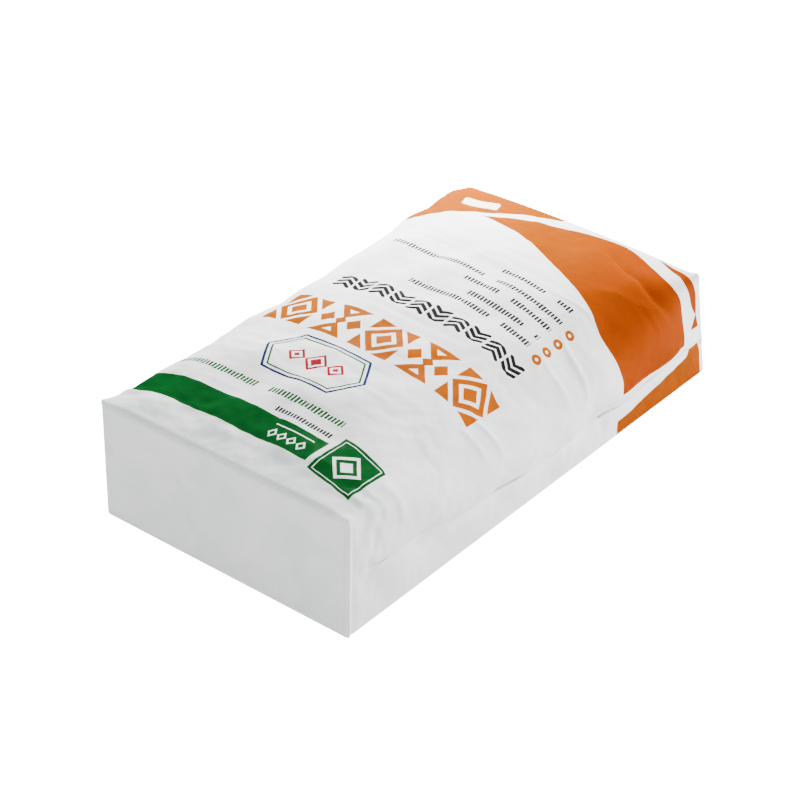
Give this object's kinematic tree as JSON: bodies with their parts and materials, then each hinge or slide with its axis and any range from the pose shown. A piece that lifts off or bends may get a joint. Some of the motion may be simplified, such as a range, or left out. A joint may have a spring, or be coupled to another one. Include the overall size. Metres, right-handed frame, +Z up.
{
  "type": "filled polypropylene valve bag",
  "caption": "Filled block-bottom valve bag of laminated woven polypropylene, lying flat, with a square folded bottom and a closed filling valve in its top end.",
  "frame": {"origin": "on the floor under the middle of the filled bag's bounding box", "axes": "+X along the bag from its bottom to its valve end, +Y towards the side that the valve opens to, +Z up, out of the printed face"},
  "size_m": [0.6907, 0.3721, 0.1753],
  "materials": {
    "printed_film": "white laminated woven polypropylene, satin, with flat orange and green print",
    "patch_film": "plain white laminated woven polypropylene, satin",
    "sleeve_film": "translucent white woven polypropylene, uncoated"
  },
  "bodies": {
    "root": {"bag_body": "printed_film", "bottom_cover_patch": "patch_film", "top_cover_patch": "patch_film", "valve_sleeve": "sleeve_film"}
  },
  "joints": []
}
